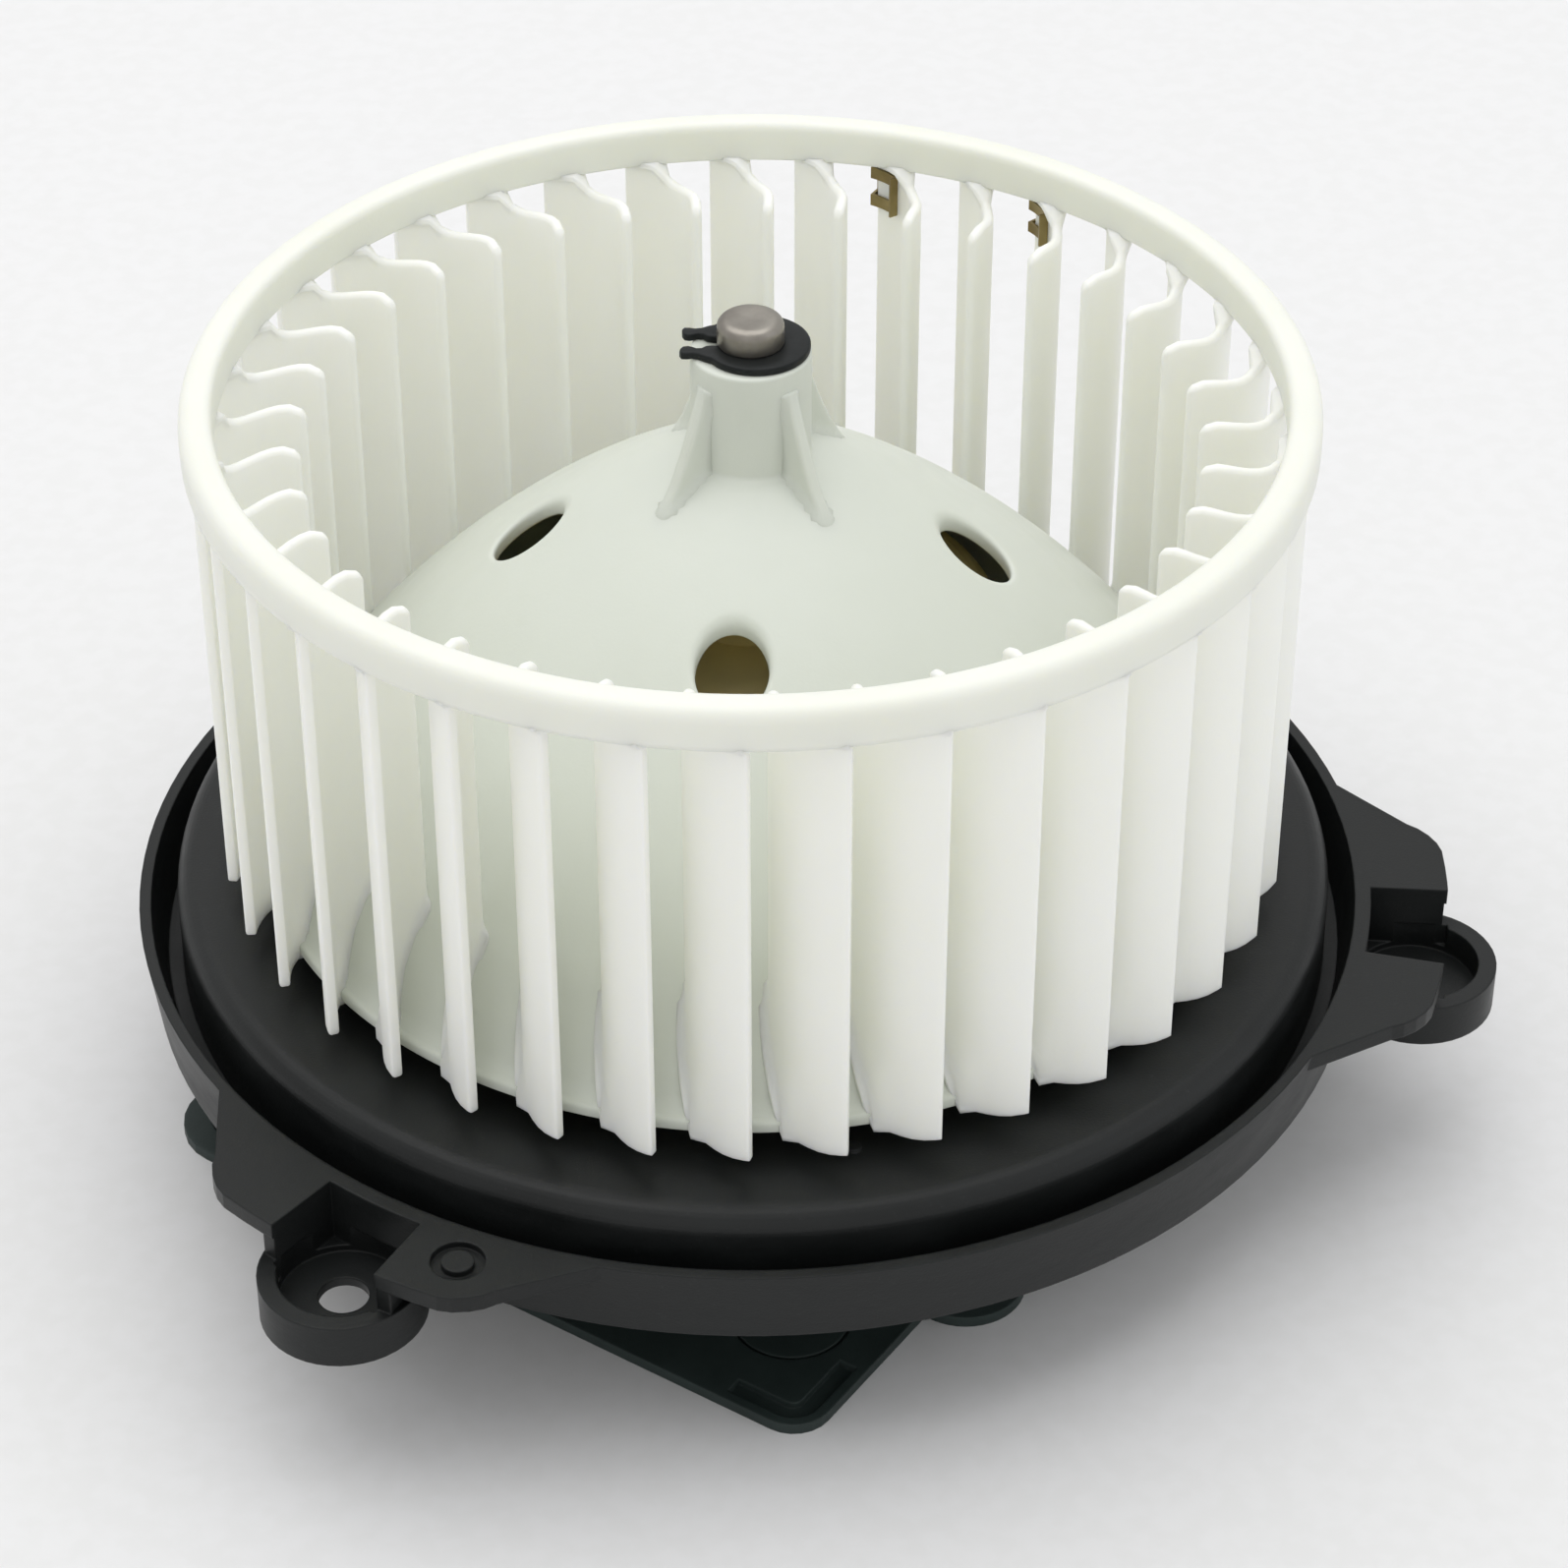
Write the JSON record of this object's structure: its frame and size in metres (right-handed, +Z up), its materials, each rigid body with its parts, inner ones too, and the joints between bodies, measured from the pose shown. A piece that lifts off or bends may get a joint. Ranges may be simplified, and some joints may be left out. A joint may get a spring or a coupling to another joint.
{
  "type": "blower motor with wheel",
  "caption": "Heater blower: squirrel-cage wheel with a domed hub on a brushed motor, held in a round moulded flange with screw ears and a square base cover.",
  "frame": {"origin": "on the motor shaft's axis, in the plane of the flange's outer land, which seats on the fan scroll", "axes": "+Z up the shaft towards the wheel's open eye; +Y towards the supply connector"},
  "size_m": [0.1716, 0.1688, 0.1109],
  "materials": {
    "ivory_plastic": "satin, slightly translucent",
    "ground_steel": "ground",
    "black_spring_steel": "phosphated, black",
    "clip_brass": "dull",
    "lamination_steel": "stacked sheet",
    "enamelled_copper": "enamelled",
    "fibre": "matt",
    "black_plastic": "moulded satin",
    "chromate_steel": "yellow chromate plating",
    "ferrite": "sintered, matt",
    "sintered_bronze": "porous, matt",
    "carbon": "pressed",
    "rubber": "matt"
  },
  "bodies": {
    "motor_base": {"flange": "black_plastic", "motor_can": "chromate_steel", "magnet_front": "ferrite", "magnet_rear": "ferrite", "magnet_spring_left": "ground_steel", "magnet_spring_right": "ground_steel", "bearing_upper": "sintered_bronze", "bearing_retainer_upper": "ground_steel", "end_plate": "chromate_steel", "bearing_lower": "sintered_bronze", "thrust_pad": "fibre", "brush_card": "fibre", "brush_spring_left": "ground_steel", "brush_spring_right": "ground_steel", "choke_front": "enamelled_copper", "choke_rear": "enamelled_copper", "terminal_positive": "clip_brass", "terminal_negative": "clip_brass", "connector_housing": "black_plastic", "isolator_upper": "rubber", "isolator_lower": "rubber", "motor_screws": "ground_steel", "base_cover": "black_plastic", "cover_screws": "ground_steel"},
    "rotor": {"wheel_rim": "ivory_plastic", "wheel_blades": "ivory_plastic", "wheel_hub": "ivory_plastic", "shaft": "ground_steel", "circlip": "black_spring_steel", "drive_pin": "ground_steel", "balance_clip_large": "clip_brass", "balance_clip_small": "clip_brass", "armature_core": "lamination_steel", "armature_windings": "enamelled_copper", "commutator": "enamelled_copper", "thrust_washer_upper": "fibre", "thrust_washer_lower": "fibre"},
    "left_brush": {"brush_left": "carbon"},
    "right_brush": {"brush_right": "carbon"}
  },
  "joints": [
    {"name": "wheel_spin", "type": "hinge", "parent": "motor_base", "child": "rotor", "pos_m": [0, 0, 0], "axis": [0, 0, 1], "continuous": true},
    {"name": "left_brush_slide", "type": "slide", "parent": "motor_base", "child": "left_brush", "axis": [-1, 0, 0], "range_m": [0, 0.0015], "stiffness_N_per_m": 200, "springref_m": -0.008, "deforming": ["brush_spring_left"]},
    {"name": "right_brush_slide", "type": "slide", "parent": "motor_base", "child": "right_brush", "axis": [1, 0, 0], "range_m": [0, 0.0015], "stiffness_N_per_m": 200, "springref_m": -0.008, "deforming": ["brush_spring_right"]}
  ]
}
